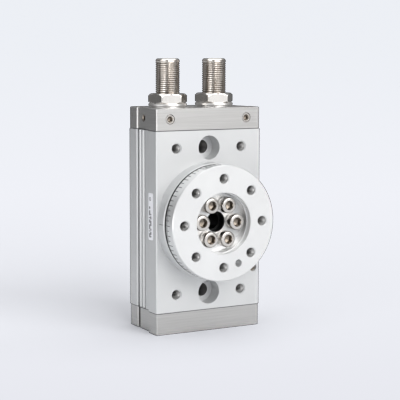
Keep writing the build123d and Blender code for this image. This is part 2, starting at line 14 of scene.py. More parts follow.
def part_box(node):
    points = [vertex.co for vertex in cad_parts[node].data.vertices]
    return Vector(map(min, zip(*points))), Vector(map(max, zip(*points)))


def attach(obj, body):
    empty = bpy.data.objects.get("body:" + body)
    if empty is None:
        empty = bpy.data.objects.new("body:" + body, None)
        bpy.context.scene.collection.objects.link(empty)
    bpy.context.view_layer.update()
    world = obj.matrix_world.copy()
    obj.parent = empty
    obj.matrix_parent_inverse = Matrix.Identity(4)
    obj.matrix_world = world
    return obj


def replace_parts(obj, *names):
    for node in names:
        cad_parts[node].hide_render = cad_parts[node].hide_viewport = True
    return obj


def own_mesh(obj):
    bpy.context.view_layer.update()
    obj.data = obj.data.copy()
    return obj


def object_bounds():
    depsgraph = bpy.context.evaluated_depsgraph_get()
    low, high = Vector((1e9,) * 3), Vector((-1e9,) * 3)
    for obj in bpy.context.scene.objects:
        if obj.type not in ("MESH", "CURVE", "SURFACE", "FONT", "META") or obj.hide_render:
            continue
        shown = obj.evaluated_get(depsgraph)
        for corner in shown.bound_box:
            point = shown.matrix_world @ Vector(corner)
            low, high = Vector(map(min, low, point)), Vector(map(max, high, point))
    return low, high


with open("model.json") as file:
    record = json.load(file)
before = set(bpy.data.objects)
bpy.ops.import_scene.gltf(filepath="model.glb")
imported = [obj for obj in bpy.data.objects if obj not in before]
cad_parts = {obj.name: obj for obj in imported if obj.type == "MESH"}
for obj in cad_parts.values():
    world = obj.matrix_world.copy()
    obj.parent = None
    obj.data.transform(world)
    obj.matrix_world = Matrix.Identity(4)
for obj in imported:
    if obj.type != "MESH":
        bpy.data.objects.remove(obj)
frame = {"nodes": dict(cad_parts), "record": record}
cad_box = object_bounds()

MM = 0.001
NODES = frame["nodes"]

# places and sizes of the CAD that several pieces here share
BODY_FRONT = 15.5 * MM
MOUNT_Z = 38 * MM
TAPPED_X = 19.3 * MM
M6_DRILL = 2.5 * MM
MOUNT_HOLE = 3.5 * MM
TABLE_HOLE_CIRCLE = 23 * MM
TABLE_SCREW_CIRCLE = 10.15 * MM
TABLE_SCREW_TURN = radians(-1.8)
WELL_DEPTH = 8.6 * MM
WELL_RADIUS = 15.6 * MM
BOSS_FRONT = 8.6 * MM
BOSS_RADIUS = 30.5 * MM
NUT_FLATS = 18.0 * MM


# ---------------------------------------------------------------- camera
AIM = Vector((-5.413, 15.5, 10.864)) * MM
DISTANCE = 682.28 * MM
YAW, PITCH, ROLL = radians(29.538), radians(6.570), radians(0.104)
LENS = 118.13


def make_camera():
    """A long lens that looks at the front from the left and a little above."""
    data = bpy.data.cameras.new("camera")
    data.lens = LENS
    data.sensor_width = 36.0
    data.clip_start = 0.01
    camera = bpy.data.objects.new("camera", data)
    bpy.context.scene.collection.objects.link(camera)
    turn = Euler((pi / 2 - PITCH, 0, -YAW)).to_quaternion() @ Quaternion((0, 0, 1), ROLL)
    camera.rotation_mode = "QUATERNION"
    camera.rotation_quaternion = turn
    camera.location = AIM - turn @ Vector((0, 0, -1)) * DISTANCE
    bpy.context.scene.camera = camera


# ---------------------------------------------------------------- materials
class Nodes:
    """Short way to write a material's node tree."""

    def __init__(self, name):
        self.material = bpy.data.materials.new(name)
        self.material.use_nodes = True
        self.tree = self.material.node_tree
        self.shader = self.tree.nodes["Principled BSDF"]
        self.place = self.add("ShaderNodeTexCoord").outputs["Object"]

    def add(self, kind, **values):
        node = self.tree.nodes.new(kind)
        for key, value in values.items():
            if key in node.inputs:
                node.inputs[key].default_value = value
            else:
                setattr(node, key, value)
        return node

    def link(self, source, target):
        self.tree.links.new(source, target)

    def stretch(self, scale):
        """The object's coordinates, stretched for marks that run one way."""
        node = self.add("ShaderNodeMapping")
        node.inputs["Scale"].default_value = scale
        self.link(self.place, node.inputs["Vector"])
        return node.outputs["Vector"]

    def noise(self, scale, detail=3.0, where=None, rough=0.5):
        node = self.add("ShaderNodeTexNoise", Scale=scale, Detail=detail, Roughness=rough)
        self.link(where or self.place, node.inputs["Vector"])
        return node.outputs["Fac"]

    def ramp(self, value, stops):
        """Colours or greys along a value."""
        node = self.add("ShaderNodeValToRGB")
        while len(node.color_ramp.elements) < len(stops):
            node.color_ramp.elements.new(0.5)
        for element, (at, colour) in zip(node.color_ramp.elements, stops):
            element.position = at
            element.color = colour if len(colour) == 4 else (*colour, 1)
        self.link(value, node.inputs["Fac"])
        return node.outputs["Color"]

    def span(self, value, low, high):
        """Map 0..1 to low..high."""
        node = self.add("ShaderNodeMapRange")
        node.inputs["To Min"].default_value = low
        node.inputs["To Max"].default_value = high
        self.link(value, node.inputs["Value"])
        return node.outputs["Result"]

    def bump(self, height, strength, distance):
        node = self.add("ShaderNodeBump", Strength=strength, Distance=distance)
        self.link(height, node.inputs["Height"])
        self.link(node.outputs["Normal"], self.shader.inputs["Normal"])


def grey(value, warm=0.0):
    """A grey with a little warmth or coolness."""
    return (value * (1 + warm), value, value * (1 - warm), 1)


def anodised(name, low, high, warm, roughness, metallic, grain=2600.0, bump=0.05):
    """Bead-blasted anodised aluminium: fine matt grain and faint clouding."""
    n = Nodes(name)
    n.shader.inputs["Metallic"].default_value = metallic
    cloud = n.noise(38.0, 2.0)
    n.link(n.ramp(cloud, [(0.3, grey(low, warm)), (0.7, grey(high, warm))]), n.shader.inputs["Base Color"])
    fine = n.noise(grain, 2.0, rough=0.6)
    n.link(n.span(fine, roughness - 0.06, roughness + 0.06), n.shader.inputs["Roughness"])
    n.bump(fine, bump, 0.00004)
    return n.material


def brushed(name, low, high, warm, roughness, metallic):
    """Milled and brushed aluminium: fine level lines round the outside."""
    n = Nodes(name)
    n.shader.inputs["Metallic"].default_value = metallic
    lines = n.noise(30.0, 4.0, n.stretch((1, 1, 90)), 0.6)
    n.link(n.ramp(lines, [(0.35, grey(low, warm)), (0.65, grey(high, warm))]), n.shader.inputs["Base Color"])
    n.link(n.span(lines, roughness - 0.05, roughness + 0.05), n.shader.inputs["Roughness"])
    n.bump(lines, 0.12, 0.00006)
    return n.material


def turned(name, low, high, warm, roughness, metallic=0.9):
    """Lathe-turned metal: fine rings around the table's axis, faint clouding, and a bare bright well."""
    n = Nodes(name)
    radius = n.add("ShaderNodeVectorMath", operation="LENGTH")
    n.link(n.stretch((1, 0, 1)), radius.inputs[0])
    well = n.add("ShaderNodeMath", operation="LESS_THAN")
    well.inputs[1].default_value = WELL_RADIUS
    n.link(radius.outputs["Value"], well.inputs[0])
    n.link(n.span(well.outputs["Value"], metallic, 0.95), n.shader.inputs["Metallic"])
    cloud = n.noise(45.0, 2.0)
    n.link(n.ramp(cloud, [(0.3, grey(low, warm)), (0.7, grey(high, warm))]), n.shader.inputs["Base Color"])
    rings = n.add("ShaderNodeTexWave", wave_type="RINGS", rings_direction="Y", Scale=900.0, Distortion=1.5)
    n.link(n.place, rings.inputs["Vector"])
    n.link(n.span(rings.outputs["Fac"], roughness - 0.04, roughness + 0.05), n.shader.inputs["Roughness"])
    n.bump(rings.outputs["Fac"], 0.05, 0.00002)
    return n.material


def metal(name, low, high, warm, roughness, scratch=(1, 1, 1), scale=900.0, bump=0.05):
    """Plated or ground steel, with fine marks along the way it was worked."""
    n = Nodes(name)
    n.shader.inputs["Metallic"].default_value = 1.0
    worked = n.noise(scale, 3.0, n.stretch(scratch))
    cloud = n.noise(160.0, 3.0)
    n.link(n.ramp(cloud, [(0.3, grey(low, warm)), (0.7, grey(high, warm))]), n.shader.inputs["Base Color"])
    n.link(n.span(worked, roughness - 0.07, roughness + 0.07), n.shader.inputs["Roughness"])
    n.bump(worked, bump, 0.00003)
    return n.material


def moulded(name, colour, roughness, scale=1200.0, bump=0.08, change=0.15):
    """Rubber, plastic or printed film: flat colour broken by a fine grain."""
    n = Nodes(name)
    fine = n.noise(scale, 2.0)
    darker = tuple(c * (1 - change) for c in colour)
    n.link(n.ramp(fine, [(0.35, darker), (0.65, colour)]), n.shader.inputs["Base Color"])
    n.link(n.span(fine, roughness - 0.05, roughness + 0.05), n.shader.inputs["Roughness"])
    n.bump(fine, bump, 0.00004)
    return n.material


MATERIALS = {
    "anodised_body": anodised("anodised_body", 0.60, 0.64, -0.01, 0.42, 0.4),
    "anodised_cap": brushed("anodised_cap", 0.465, 0.535, 0.012, 0.34, 0.85),
    "machined_table": turned("machined_table", 0.70, 0.76, -0.005, 0.34, 0.5),
    "steel_screw": metal("steel_screw", 0.56, 0.66, 0.045, 0.24),
    "hardened_steel": metal("hardened_steel", 0.42, 0.5, 0.0, 0.3),
    "nickel_steel": metal("nickel_steel", 0.70, 0.78, 0.075, 0.18),
    "zinc_nut": metal("zinc_nut", 0.78, 0.86, 0.03, 0.12, (1, 1, 0.08)),
    "seal_rubber": moulded("seal_rubber", (0.02, 0.02, 0.02), 0.6),
    "wear_plastic": moulded("wear_plastic", (0.7, 0.66, 0.52), 0.5),
    "cage_plastic": moulded("cage_plastic", (0.16, 0.11, 0.05), 0.5),
    "magnet_black": moulded("magnet_black", (0.04, 0.04, 0.045), 0.55),
    "label_white": moulded("label_white", (0.90, 0.90, 0.94), 0.35, change=0.03),
}
DARK_MARK = moulded("laser_mark", (0.07, 0.07, 0.075), 0.6)
# darker steel for the studs' thread roots: painted shade in the roots
ROOT_SHADE_STEEL = metal("thread_root_painted_shade", 0.24, 0.32, 0.14, 0.4)
# cut metal of the tapped holes' threads, darkened as painted shade inside the holes
CUT_METAL_AND_SHADE = metal("cut_metal_and_painted_shade", 0.46, 0.58, 0.01, 0.36)
# dark grey for the threads down the deep mounting holes: painted shade in the holes
DEEP_HOLE_SHADE = metal("deep_hole_painted_shade", 0.22, 0.32, 0.02, 0.4)
# near-black steel for the pinion shaft and the hub's sleeve: painted shade down the hole through the table's
# hub
HOLE_SHADE_BLACK = metal("hole_shade_black", 0.035, 0.06, 0.0, 0.35)
WASHER = metal("plated_washer", 0.78, 0.86, 0.02, 0.42)
# second material of the screws and plugs: darker steel in the sockets, painted shade in the recess
SCREW = (MATERIALS["steel_screw"], metal("socket_painted_shade", 0.16, 0.26, 0.16, 0.3))


def dress_cad():
    """Give every CAD node its procedural material."""
    slots = {entry["node"]: entry["material_slot"] for entry in frame["record"]["subparts"]}
    for name, node in NODES.items():
        for slot in node.material_slots:
            # the pinion shaft wears near-black steel: painted shade down the hole through the table's hub
            slot.material = HOLE_SHADE_BLACK if name == "pinion_shaft" else MATERIALS[slots[name]]


# ---------------------------------------------------------------- mesh helpers
def middle(node):
    """Centre of a CAD node's box."""
    low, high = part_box(node)
    return (low + high) / 2


def make_piece(name, bm, slot_name, body, *materials):
    """Turn a bmesh into a piece of the object that rides on a body.

    It wears its slot's own material unless others are given.
    """
    mesh = bpy.data.meshes.new(name)
    bmesh.ops.remove_doubles(bm, verts=bm.verts, dist=1e-7)
    bmesh.ops.recalc_face_normals(bm, faces=bm.faces)
    bm.to_mesh(mesh)
    bm.free()
    for material in materials or (MATERIALS[slot_name],):
        mesh.materials.append(material)
    mesh.shade_smooth()
    mesh.set_sharp_from_angle(angle=radians(32))
    piece = bpy.data.objects.new(name, mesh)
    bpy.context.scene.collection.objects.link(piece)
    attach(piece, body)
    return piece


def bridge(bm, lower, upper):
    """Quads between two rings with the same number of points."""
    count = len(lower)
    for i in range(count):
        j = (i + 1) % count
        bm.faces.new((lower[i], lower[j], upper[j], upper[i]))


def ring_points(bm, frame_matrix, radius, height, count):
    """One ring of points; radius is a number or a function of the angle."""
    points = []
    for i in range(count):
        angle = tau * i / count
        r = radius(angle) if callable(radius) else radius
        points.append(bm.verts.new(frame_matrix @ Vector((r * cos(angle), r * sin(angle), height))))
    return points


def stack(bm, matrix, rings, count, close=(True, True)):
    """A turned form: a list of (radius, height) rings joined up, closed at its ends where asked."""
    made = [ring_points(bm, matrix, radius, height, count) for radius, height in rings]
    for lower, upper in zip(made, made[1:]):
        bridge(bm, lower, upper)
    if close[0]:
        bm.faces.new(made[0])
    if close[1]:
        bm.faces.new(list(reversed(made[-1])))
    return made


def hexagon(flats, turn=0.0):
    """Radius of a hexagon at an angle, from its width across flats."""
    def radius(angle):
        within = (angle - turn) % (pi / 3) - pi / 6
        return flats / 2 / cos(within)
    return radius


def facing(place, direction, turn=0.0):
    """Matrix whose z runs along a direction from a place."""
    return Matrix.Translation(place) @ (Vector(direction).to_track_quat("Z", "Y").to_matrix().to_4x4()
                                        @ Matrix.Rotation(turn, 4, "Z"))


def socket_head(bm, matrix, head_r, head_h, key, shank_r, shank_len, knurls=48, turn=0.0):
    """Socket-head cap screw: knurled rim, rounded top edge, hexagon socket and plain shank, the socket in a
    second material of painted shade.

    z = 0 is the underside of the head, and z runs out of the top of it.
    """
    count = knurls * 3

    def knurled(angle):
        return head_r - 0.1 * MM + 0.1 * MM * abs(sin(knurls * angle / 2))

    edge = 0.45 * MM
    rings = [
        (shank_r * 0.8, -shank_len), (shank_r, -shank_len + 0.4 * MM), (shank_r, 0), (head_r - 0.35 * MM, 0),
        (head_r - 0.12 * MM, 0.25 * MM), (knurled, 0.5 * MM), (knurled, head_h - 2 * edge),
        (head_r - 0.12 * MM, head_h - 1.7 * edge), (head_r - 0.15 * MM, head_h - 0.8 * edge),
        (head_r - 0.15 * MM - 0.35 * edge, head_h - 0.3 * edge), (head_r - 0.15 * MM - edge, head_h),
        (key / 2 * 1.22, head_h), (hexagon(key, turn), head_h - 0.12 * key),
        (hexagon(key, turn), head_h * 0.42), (key * 0.1, head_h * 0.42 - key * 0.14),
    ]
    before = set(bm.faces)
    stack(bm, matrix, rings, count)
    inward = matrix.inverted()
    # socket faces take the second material, painted shade in the socket
    for face in set(bm.faces) - before:
        place = inward @ face.calc_center_median()
        if place.z > head_h * 0.3 and hypot(place.x, place.y) < key * 0.575:
            face.material_index = 1


def plug(bm, matrix, radius, key, depth, rim=0.3):
    """Headless screw, flush in its hole: chamfered rim, dished ring and hexagon socket, the ring and socket in
    a second material of painted shade.

    z = 0 is its face.
    """
    edge = rim * MM
    before = set(bm.faces)
    stack(bm, matrix, [
        (radius, -depth), (radius, -edge), (radius - edge, -0.02 * MM), (key * 0.82, -0.02 * MM),
        (key * 0.72, -0.25 * MM), (hexagon(key * 1.06), -0.45 * MM), (hexagon(key), -0.6 * MM),
        (hexagon(key), -0.55 * depth), (key * 0.08, -0.55 * depth - 0.2 * MM),
    ], 96)
    inward = matrix.inverted()
    # the dished ring and socket take the second material, painted shade in the recess
    for face in set(bm.faces) - before:
        place = inward @ face.calc_center_median()
        if -0.8 * depth < place.z < -0.1 * MM and hypot(place.x, place.y) < key * 0.8:
            face.material_index = 1


def helix_stud(bm, matrix, rings_below, thread, rings_above, count=96, steps=8):
    """Bar with a right-hand thread between two plain ends, the faces in its roots in a second material of
    painted shade.  thread = (crest r, depth, pitch, z0, z1).
    """
    crest, depth, pitch, z0, z1 = thread
    rings = list(rings_below)
    total = int(round((z1 - z0) / pitch * steps))

    def threaded(z):
        fade = min(1.0, (z - z0) / pitch, (z1 - z) / pitch)

        def radius(angle):
            phase = ((z - z0) / pitch - angle / tau) % 1.0
            wave = abs(2 * phase - 1)
            cut = min(1.0, max(0.0, (wave - 0.42) / 0.52))
            return crest - depth * cut * fade
        return radius

    rings += [(threaded(z0 + (z1 - z0) * k / total), z0 + (z1 - z0) * k / total) for k in range(total + 1)]
    stack(bm, matrix, rings + list(rings_above), count)
    # faces below the crest take the second material, painted shade in the thread roots
    for face in bm.faces:
        place = matrix.inverted() @ face.calc_center_median()
        if z0 < place.z < z1 and hypot(place.x, place.y) < crest - 0.35 * depth:
            face.material_index = 1


# ---------------------------------------------------------------- shock absorbers
def make_absorbers():
    """Threaded studs that stand in the top cap, with a hexagon socket in the end."""
    for side in ("left", "right"):
        node = f"{side}_shock_absorber"
        low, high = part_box(node)
        centre = (low + high) / 2
        crest = (high.x - low.x) / 2
        bm = bmesh.new()
        matrix = Matrix.Translation((centre.x, centre.y, 0))
        chamfer = 0.7 * MM
        below = [(2.1 * MM, low.z + 2.5 * MM), (3.3 * MM, low.z + 2.5 * MM), (3.3 * MM, low.z),
                 (crest - 0.9 * MM, low.z), (crest - 0.55 * MM, low.z + 0.4 * MM)]
        thread = (crest, 0.5 * MM, 1.0 * MM, low.z + 0.8 * MM, high.z - 1.2 * MM)
        above = [(crest - 0.05 * MM, high.z - chamfer), (crest - chamfer, high.z), (3.2 * MM, high.z),
                 (hexagon(5.0 * MM), high.z - 0.3 * MM), (hexagon(5.0 * MM), high.z - 3.0 * MM),
                 (0.6 * MM, high.z - 3.4 * MM)]
        helix_stud(bm, matrix, below, thread, above)
        piece = make_piece(f"{side}_threaded_stud", bm, "nickel_steel", "housing",
                           MATERIALS["nickel_steel"], ROOT_SHADE_STEEL)
        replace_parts(piece, node)


def make_springs():
    """Coil spring above each absorber's rod, on a mesh of its own; the real spring shortens towards the tube's
    end as the rod goes in.
    """
    wire, turns, steps = 0.45 * MM, 5, 48
    up = Vector((0, 0, 1))
    for side in ("left", "right"):
        node = f"{side}_absorber_spring"
        low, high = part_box(node)
        centre = middle(f"{side}_shock_absorber")
        coil = (high.x - low.x) / 2 - wire
        bm = bmesh.new()
        rings = []
        for k in range(turns * steps + 1):
            out = Vector((cos(tau * k / steps), sin(tau * k / steps), 0))
            z = low.z + wire + (high.z - low.z - 2 * wire) * k / (turns * steps)
            place = Vector((centre.x, centre.y, z)) + coil * out
            rings.append([bm.verts.new(place + wire * (cos(t) * out + sin(t) * up))
                          for t in (tau * j / 16 for j in range(16))])
        for lower, upper in zip(rings, rings[1:]):
            bridge(bm, lower, upper)
        bm.faces.new(rings[0])
        bm.faces.new(list(reversed(rings[-1])))
        piece = make_piece(f"{side}_coil_spring", bm, "hardened_steel", "housing")
        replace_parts(piece, node)
        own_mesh(piece)


def make_nuts():
    """Lock nuts with their corners turned down, each on a washer that stands on a narrow seal."""
    for side in ("left", "right"):
        low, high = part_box(f"{side}_lock_nut")
        centre = (low + high) / 2
        bore = 6.25 * MM
        across = hexagon(NUT_FLATS, radians(14.5) + pi / 6)

        def turned_down(cut):
            return lambda angle: min(across(angle), NUT_FLATS / 2 * cut)

        rings = [(bore + 0.5 * MM, low.z), (turned_down(1.0), low.z), (turned_down(1.045), low.z + 0.35 * MM)]
        rings += [(turned_down(1.045 + 0.03 * k), low.z + (0.35 + 0.16 * k) * MM) for k in range(1, 4)]
        rings.append((across, low.z + 1.1 * MM))
        rings += [(radius, low.z + high.z - height) for radius, height in reversed(rings)]
        rings += [(bore, high.z - 0.5 * MM), (bore, low.z + 0.5 * MM), rings[0]]
        bm = bmesh.new()
        stack(bm, Matrix.Translation((centre.x, centre.y, 0)), rings, 144, close=(False, False))
        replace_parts(make_piece(f"{side}_hexagon_nut", bm, "zinc_nut", "housing"), f"{side}_lock_nut")

        low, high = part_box(f"{side}_seal_washer")
        outer = (high.x - low.x) / 2
        inner = bore + 0.15 * MM
        rings = [
            (inner, low.z), (outer - 0.9 * MM, low.z), (outer - 0.9 * MM, low.z + 0.55 * MM),
            (outer - 0.3 * MM, low.z + 0.6 * MM), (outer, low.z + 0.85 * MM), (outer, high.z - 0.45 * MM),
            (outer - 0.12 * MM, high.z - 0.12 * MM), (outer - 0.5 * MM, high.z), (inner, high.z),
            (inner, low.z),
        ]
        bm = bmesh.new()
        stack(bm, Matrix.Translation((centre.x, centre.y, 0)), rings, 96, close=(False, False))
        washer = make_piece(f"{side}_plated_washer", bm, "nickel_steel", "housing", WASHER)
        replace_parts(washer, f"{side}_seal_washer")


# ---------------------------------------------------------------- screws
def make_table_screws():
    """Six socket screws in the table's well."""
    centre = middle("turntable")
    well_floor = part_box("turntable")[0].y + WELL_DEPTH
    bm = bmesh.new()
    for k in range(6):
        angle = TABLE_SCREW_TURN + radians(60 * k)
        across, up = TABLE_SCREW_CIRCLE * cos(angle), TABLE_SCREW_CIRCLE * sin(angle)
        seat = facing((centre.x + across, well_floor, centre.z + up), (0, -1, 0), 0.35 + 1.3 * k)
        socket_head(bm, seat, 4.2 * MM, 5.0 * MM, 4.0 * MM, 2.45 * MM, 11.9 * MM)
    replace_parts(make_piece("socket_screws", bm, "steel_screw", "table", *SCREW), "table_screws")


def make_cap_screws():
    """Socket screws sunk in the outer faces of both caps."""
    for cap, up in (("top_cap", 1), ("bottom_cap", -1)):
        low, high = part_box(f"{cap}_screws")
        head_z = high.z - 4.0 * MM if up > 0 else low.z + 4.0 * MM
        bm = bmesh.new()
        for x, y in ((9.5, 20.5), (-9.5, 20.5), (24.5, 46.0), (-24.5, 46.0)):
            socket_head(bm, facing((x * MM, y * MM, head_z), (0, 0, up), x), 3.5 * MM, 4.0 * MM, 3.0 * MM,
                        1.95 * MM, 14.4 * MM, knurls=40)
        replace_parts(make_piece(f"{cap}_socket_screws", bm, "steel_screw", "housing", *SCREW), f"{cap}_screws")


def make_sleeve():
    """Near-black sleeve that lines the hole through the table's hub: painted shade down the hole."""
    bm = bmesh.new()
    outer, inner = 5.44 * MM, 5.1 * MM
    stack(bm, facing((0, 13.5 * MM, 0), (0, -1, 0)), [
        (outer, 0), (outer, 4.75 * MM), (5.3 * MM, 4.88 * MM), (inner, 4.7 * MM), (inner, 0), (outer, 0),
    ], 96, close=(False, False))
    make_piece("hub_sleeve", bm, "hardened_steel", "table", HOLE_SHADE_BLACK)


def make_plugs():
    """Socket plugs in both caps' drillings, and the one in the front port."""
    low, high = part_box("cap_front_plugs")
    bm = bmesh.new()
    radius = 2.58 * MM
    for x in (low.x + radius, high.x - radius):
        place = (x, low.y, (low.z + high.z) / 2)
        plug(bm, facing(place, (0, -1, 0), 0.3), radius, 2.0 * MM, 3.2 * MM, 0.4)
    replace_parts(make_piece("front_socket_plugs", bm, "steel_screw", "housing", *SCREW), "cap_front_plugs")
    low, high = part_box("cap_side_plugs")
    centre = (low + high) / 2
    bm = bmesh.new()
    for x, out in ((low.x, -1), (high.x, 1)):
        plug(bm, facing((x, centre.y, centre.z), (out, 0, 0), 0.5), 1.96 * MM, 2.0 * MM, 2.9 * MM)
    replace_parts(make_piece("side_socket_plugs", bm, "steel_screw", "housing", *SCREW), "cap_side_plugs")
    low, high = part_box("port_plug")
    centre = (low + high) / 2
    bm = bmesh.new()
    place = (centre.x, low.y, centre.z)
    plug(bm, facing(place, (0, -1, 0), 0.2), (high.x - low.x) / 2 - 0.01 * MM, 2.0 * MM, high.y - low.y)
    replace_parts(make_piece("port_socket_plug", bm, "steel_screw", "housing", *SCREW), "port_plug")


# ---------------------------------------------------------------- threads in the tapped holes
def hole_thread(bm, matrix, radius, depth, pitch, count=48, steps=6):
    """Thin threaded sleeve on the wall of a tapped hole.

    z = 0 is its outer end, and it runs down -z.
    """
    total = int(depth / pitch * steps)

    def threaded(z):
        fade = min(1.0, -z / pitch, (depth + z) / pitch)

        def at(angle):
            wave = abs(2 * ((z / pitch - angle / tau) % 1.0) - 1)
            return radius - 0.02 * MM - 0.42 * MM * fade * min(1.0, max(0.0, (wave - 0.15) / 0.7))
        return at

    levels = [-depth * k / total for k in range(total + 1)]
    inner = [ring_points(bm, matrix, threaded(z), z, count) for z in levels]
    outer = [ring_points(bm, matrix, radius - 0.01 * MM, z, count) for z in (levels[0], levels[-1])]
    for upper, lower in zip(inner, inner[1:]):
        bridge(bm, upper, lower)
    bridge(bm, outer[0], inner[0])
    bridge(bm, inner[-1], outer[1])
    bridge(bm, outer[1], outer[0])


def make_threads():
    """Threads in the table's eight holes, the body's four and its two through-holes."""
    bm = bmesh.new()
    for k in range(8):
        angle = k * pi / 4
        place = Vector((TABLE_HOLE_CIRCLE * cos(angle), 0.5 * MM, TABLE_HOLE_CIRCLE * sin(angle)))
        hole_thread(bm, facing(place, (0, -1, 0)), M6_DRILL, 6.8 * MM, 1.0 * MM)
    # cut metal, darkened as painted shade inside the table's tapped holes
    make_piece("table_hole_threads", bm, "machined_table", "table", CUT_METAL_AND_SHADE)
    bm = bmesh.new()
    for z in (-MOUNT_Z, MOUNT_Z):
        for x in (-TAPPED_X, TAPPED_X):
            hole_thread(bm, facing((x, BODY_FRONT + 0.6 * MM, z), (0, -1, 0)), M6_DRILL, 7.8 * MM, 1.0 * MM)
    # cut metal, darkened as painted shade inside the body's tapped holes
    make_piece("body_hole_threads", bm, "anodised_body", "housing", CUT_METAL_AND_SHADE)
    bm = bmesh.new()
    for z in (-MOUNT_Z, MOUNT_Z):
        hole_thread(bm, facing((0, BODY_FRONT + 8.1 * MM, z), (0, -1, 0)), MOUNT_HOLE, 26 * MM, 1.25 * MM)
    # dark grey threads: painted shade down the deep mounting holes
    make_piece("mounting_hole_threads", bm, "anodised_body", "housing", DEEP_HOLE_SHADE)


# ---------------------------------------------------------------- scale on the table's rim
def rim_mark(bm, radius, angle, width, y0, y1, segments=3):
    """Thin raised mark that follows a round surface about the table's axis."""
    rows = []
    for r in (radius - 0.05 * MM, radius + 0.05 * MM):
        for y in (y0, y1):
            row = []
            for k in range(segments + 1):
                a = angle + width / radius * (k / segments - 0.5)
                row.append(bm.verts.new((r * cos(a), y, r * sin(a))))
            rows.append(row)
    inner0, inner1, outer0, outer1 = rows
    for first, second in ((inner1, inner0), (outer0, outer1), (inner0, outer0), (outer1, inner1)):
        for k in range(segments):
            bm.faces.new((first[k], first[k + 1], second[k + 1], second[k]))
    for k in (0, segments):
        bm.faces.new((inner0[k], inner1[k], outer1[k], outer0[k]))


def make_scale():
    """Degree marks on the table's rim, finer beside the index line on the boss that they are read against."""
    low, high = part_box("turntable")
    rim = (high.x - low.x) / 2
    back = 7.1 * MM
    bm = bmesh.new()
    for k in range(-72, 73):
        angle = pi + radians(1.25 * k)
        if k % 4 == 0:
            length = (4.0 if k % 8 == 0 else 2.9) * MM
            rim_mark(bm, rim, angle, 0.36 * MM, back - length, back)
        elif abs(k) < 14:
            rim_mark(bm, rim, angle, 0.28 * MM, back - 1.5 * MM, back)
    make_piece("rim_scale", bm, "seal_rubber", "table", DARK_MARK)
    bm = bmesh.new()
    rim_mark(bm, BOSS_RADIUS, pi, 0.22 * MM, 9.2 * MM, 13.4 * MM)
    make_piece("index_line", bm, "seal_rubber", "housing", DARK_MARK)


def make_gap_shade_ring():
    """Thin black ring in the boss's recess: painted shade that closes the gap behind the table."""
    bm = bmesh.new()
    ring = facing((0, BOSS_FRONT + 0.02 * MM, 0), (0, -1, 0))
    inner, outer, thick = 28.6 * MM, 29.95 * MM, 0.24 * MM
    stack(bm, ring, [
        (inner, 0), (outer, 0), (outer, thick - 0.1 * MM), (outer - 0.1 * MM, thick),
        (inner, thick), (inner, 0),
    ], 160, close=(False, False))
    make_piece("boss_gap_shade_ring", bm, "seal_rubber", "housing")


# ---------------------------------------------------------------- gaskets
def make_gaskets():
    """Thin dark sheet in the joint between the body and each cap; only its edge shows."""
    front, rear = 30.78 * MM, 28.98 * MM
    y0, step, y1, cut = 15.72 * MM, 25.1 * MM, 50.28 * MM, 1.2 * MM
    edge = 0.4 * MM
    right = [(front - edge, y0), (front, y0 + edge), (front, step - edge), (front - edge, step),
             (rear, step), (rear, y1 - cut), (rear - cut, y1)]
    outline = right + [(-x, y) for x, y in reversed(right)]
    thick, width = 0.4 * MM, 0.8 * MM
    bm = bmesh.new()
    for z in (-47.42 * MM, 47.02 * MM):
        rings = []
        for inset, level in ((0, z), (0, z + thick), (width, z + thick), (width, z)):
            ring = []
            for x, y in outline:
                inward_x = -inset if x > 0 else inset
                inward_y = inset if y < step else -inset
                ring.append(bm.verts.new((x + inward_x, y + inward_y, level)))
            rings.append(ring)
        for lower, upper in zip(rings, rings[1:] + rings[:1]):
            bridge(bm, lower, upper)
    make_piece("cap_gaskets", bm, "seal_rubber", "housing", DARK_MARK)


# ---------------------------------------------------------------- label
def box_between(bm, low, high):
    """Closed box between two corners."""
    corners = [bm.verts.new((x, y, z))
               for x in (low[0], high[0]) for y in (low[1], high[1]) for z in (low[2], high[2])]
    for face in ((0, 1, 3, 2), (4, 6, 7, 5), (0, 4, 5, 1), (2, 3, 7, 6), (0, 2, 6, 4), (1, 5, 7, 3)):
        bm.faces.new([corners[i] for i in face])


def make_label():
    """White film with rounded corners and plain printed rules in place of lettering."""
    low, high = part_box("side_label")
    corner = 0.8 * MM
    bm = bmesh.new()
    outline = []
    for cy, cz, start in ((high.y - corner, high.z - corner, 0), (low.y + corner, high.z - corner, 90),
                          (low.y + corner, low.z + corner, 180), (high.y - corner, low.z + corner, 270)):
        for k in range(7):
            a = radians(start + 15 * k)
            outline.append((cy + corner * cos(a), cz + corner * sin(a)))
    rings = [[bm.verts.new((x, y, z)) for y, z in outline] for x in (high.x, low.x + 0.02 * MM)]
    bridge(bm, *rings)
    bm.faces.new(rings[0])
    bm.faces.new(list(reversed(rings[1])))
    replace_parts(make_piece("label_film", bm, "label_white", "housing"), "side_label")
    bm = bmesh.new()
    x0, x1 = low.x + 0.004 * MM, low.x + 0.03 * MM
    # each column of dashes: distance from the label's edge, width, then where each dash starts and ends
    columns = (
        (1.0, 1.0, ((1.4, 3.6), (4.4, 5.0), (5.6, 8.2), (9.0, 10.6), (11.4, 12.0), (12.8, 15.4),
                    (16.2, 17.4))),
        (2.3, 0.9, ((1.4, 2.2), (2.8, 4.4), (5.0, 6.0), (7.4, 10.2), (10.8, 12.4), (13.0, 13.6))),
    )
    for start, width, dashes in columns:
        for z0, z1 in dashes:
            y = high.y - (start + width) * MM
            box_between(bm, (x0, y, low.z + z0 * MM), (x1, y + width * MM, low.z + z1 * MM))
    rim = facing((x0, high.y - 1.9 * MM, high.z - 3.1 * MM), (1, 0, 0))
    inner, outer, thick = 0.62 * MM, 0.95 * MM, x1 - x0
    stack(bm, rim, [(inner, 0), (outer, 0), (outer, thick), (inner, thick), (inner, 0)], 32,
          close=(False, False))
    make_piece("label_rules", bm, "magnet_black", "housing", DARK_MARK)


